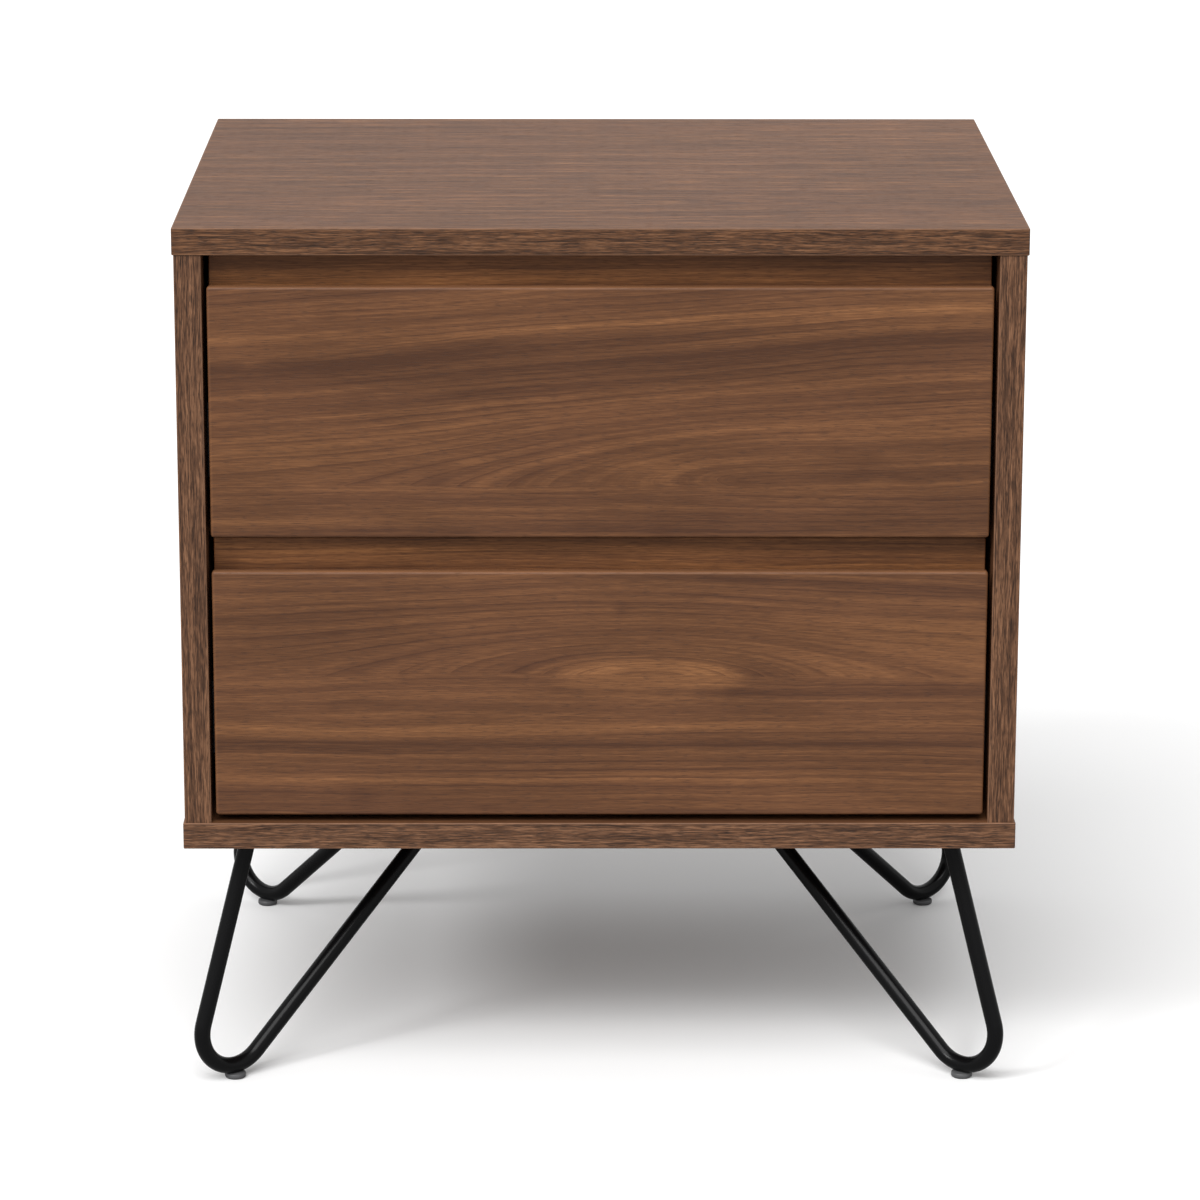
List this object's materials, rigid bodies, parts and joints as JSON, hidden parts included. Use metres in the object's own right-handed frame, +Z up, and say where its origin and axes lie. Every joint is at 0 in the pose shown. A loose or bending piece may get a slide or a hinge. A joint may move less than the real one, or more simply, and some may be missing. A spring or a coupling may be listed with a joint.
{
  "type": "nightstand",
  "caption": "Nightstand with drawers: walnut-effect cabinet with finger-recess drawers on ball runners, standing on black hairpin legs.",
  "frame": {"origin": "on the floor under the middle of the cabinet", "axes": "+X to the cabinet's right as seen from the front, +Y to its back, +Z up; the drawers open towards -Y"},
  "size_m": [0.5, 0.4, 0.535],
  "materials": {
    "walnut_foil": "satin walnut-effect foil on particleboard",
    "edge_band": "walnut-effect plastic edge banding, fine matt",
    "drawer_foil": "plain matt brown foil on particleboard",
    "hardboard": "brown hardboard",
    "beech": "fluted beech",
    "black_powder_coat": "black satin powder coat, fine texture",
    "black_screw": "black oxide",
    "glide_plastic": "grey moulded plastic",
    "zinc_cast": "cast zinc, dull",
    "zinc_steel": "bright zinc plate",
    "black_zinc_steel": "black-passivated zinc plate, satin",
    "bearing_steel": "polished bearing steel"
  },
  "bodies": {
    "carcass": {"top_panel": "walnut_foil", "top_panel_edge_banding": "edge_band", "bottom_panel": "walnut_foil", "bottom_panel_edge_banding": "edge_band", "left_side_panel": "walnut_foil", "right_side_panel": "walnut_foil", "left_side_edge_banding": "edge_band", "right_side_edge_banding": "edge_band", "back_panel": "hardboard", "cam_locks": "zinc_cast", "cam_bolts": "zinc_steel", "carcass_dowels": "beech", "upper_left_runner_outer": "black_zinc_steel", "upper_right_runner_outer": "black_zinc_steel", "lower_left_runner_outer": "black_zinc_steel", "lower_right_runner_outer": "black_zinc_steel", "cabinet_runner_screws": "zinc_steel", "front_left_leg_rod": "black_powder_coat", "front_right_leg_rod": "black_powder_coat", "rear_left_leg_rod": "black_powder_coat", "rear_right_leg_rod": "black_powder_coat", "front_left_leg_plate": "black_powder_coat", "front_right_leg_plate": "black_powder_coat", "rear_left_leg_plate": "black_powder_coat", "rear_right_leg_plate": "black_powder_coat", "front_left_leg_glide": "glide_plastic", "front_right_leg_glide": "glide_plastic", "rear_left_leg_glide": "glide_plastic", "rear_right_leg_glide": "glide_plastic", "leg_screws": "black_screw"},
    "upper_drawer": {"upper_drawer_front": "walnut_foil", "upper_drawer_inner_front": "walnut_foil", "upper_drawer_left_side": "drawer_foil", "upper_drawer_right_side": "drawer_foil", "upper_drawer_back": "drawer_foil", "upper_drawer_bottom": "hardboard", "upper_drawer_front_screws": "zinc_steel", "upper_drawer_dowels": "beech", "upper_left_runner_inner": "black_zinc_steel", "upper_right_runner_inner": "black_zinc_steel", "upper_drawer_runner_screws": "zinc_steel"},
    "lower_drawer": {"lower_drawer_front": "walnut_foil", "lower_drawer_inner_front": "walnut_foil", "lower_drawer_left_side": "drawer_foil", "lower_drawer_right_side": "drawer_foil", "lower_drawer_back": "drawer_foil", "lower_drawer_bottom": "hardboard", "lower_drawer_front_screws": "zinc_steel", "lower_drawer_dowels": "beech", "lower_left_runner_inner": "black_zinc_steel", "lower_right_runner_inner": "black_zinc_steel", "lower_drawer_runner_screws": "zinc_steel"},
    "upper_runner_middles": {"upper_left_runner_middle": "black_zinc_steel", "upper_right_runner_middle": "black_zinc_steel", "upper_runner_ball_cages": "bearing_steel"},
    "lower_runner_middles": {"lower_left_runner_middle": "black_zinc_steel", "lower_right_runner_middle": "black_zinc_steel", "lower_runner_ball_cages": "bearing_steel"}
  },
  "joints": [
    {"name": "upper_drawer_slide", "type": "slide", "parent": "carcass", "child": "upper_drawer", "axis": [0, -1, 0], "range_m": [0, 0.32]},
    {"name": "lower_drawer_slide", "type": "slide", "parent": "carcass", "child": "lower_drawer", "axis": [0, -1, 0], "range_m": [0, 0.32]},
    {"name": "upper_runner_middle_slide", "type": "slide", "parent": "carcass", "child": "upper_runner_middles", "axis": [0, -1, 0], "range_m": [0, 0.16]},
    {"name": "lower_runner_middle_slide", "type": "slide", "parent": "carcass", "child": "lower_runner_middles", "axis": [0, -1, 0], "range_m": [0, 0.16]}
  ],
  "couplings": [
    {"joint": "upper_runner_middle_slide", "follows": "upper_drawer_slide", "ratio": 0.5},
    {"joint": "lower_runner_middle_slide", "follows": "lower_drawer_slide", "ratio": 0.5}
  ]
}
